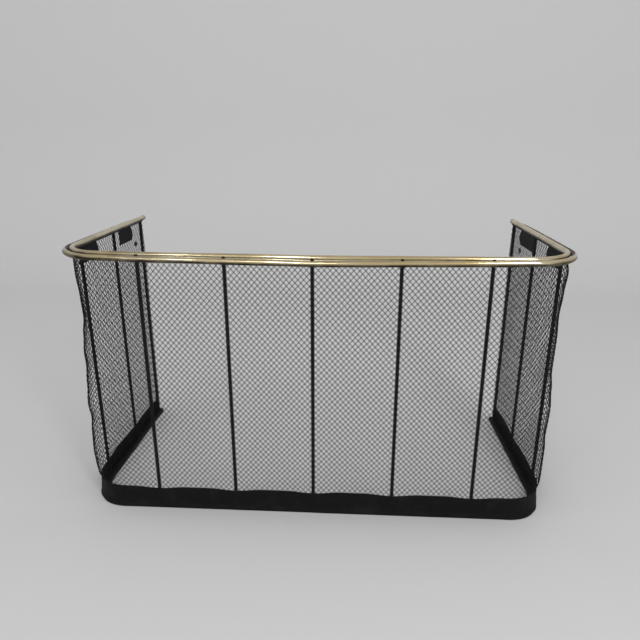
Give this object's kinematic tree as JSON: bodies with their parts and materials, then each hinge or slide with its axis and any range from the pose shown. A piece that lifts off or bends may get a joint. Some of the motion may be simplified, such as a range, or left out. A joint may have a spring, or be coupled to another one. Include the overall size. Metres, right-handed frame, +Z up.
{
  "type": "nursery fire guard",
  "caption": "U-shaped free-standing fire guard: black diamond wire mesh on iron rods, rounded front corners, a sheet skirt at the foot and paired brass rails on top, open at the rear.",
  "frame": {"origin": "middle of the footprint's bounding box, on the floor", "axes": "+X to the right along the front, +Y to the open rear, +Z up"},
  "size_m": [1.086, 0.4976, 0.61],
  "materials": {
    "brass": "polished and aged",
    "black_iron": "matte black",
    "black_sheet": "matte black",
    "mesh_wire": "matte black"
  },
  "bodies": {
    "root": {"base_bar": "black_iron", "corner_mesh_left": "mesh_wire", "corner_mesh_right": "mesh_wire", "corner_rod_left": "black_iron", "corner_rod_right": "black_iron", "front_mesh": "mesh_wire", "front_plate_left": "black_sheet", "front_plate_right": "black_sheet", "front_rod_1": "black_iron", "front_rod_2": "black_iron", "front_rod_3": "black_iron", "front_rod_4": "black_iron", "front_rod_5": "black_iron", "inner_brass_rail": "brass", "lozenge_left": "black_sheet", "lozenge_right": "black_sheet", "outer_brass_rail": "brass", "rail_caps": "black_iron", "rear_plate_left": "black_sheet", "rear_plate_right": "black_sheet", "rear_rod_left": "black_iron", "rear_rod_right": "black_iron", "side_mesh_left": "mesh_wire", "side_mesh_right": "mesh_wire", "side_rod_left": "black_iron", "side_rod_right": "black_iron", "skirt": "black_sheet", "top_bar": "black_iron"}
  },
  "joints": []
}
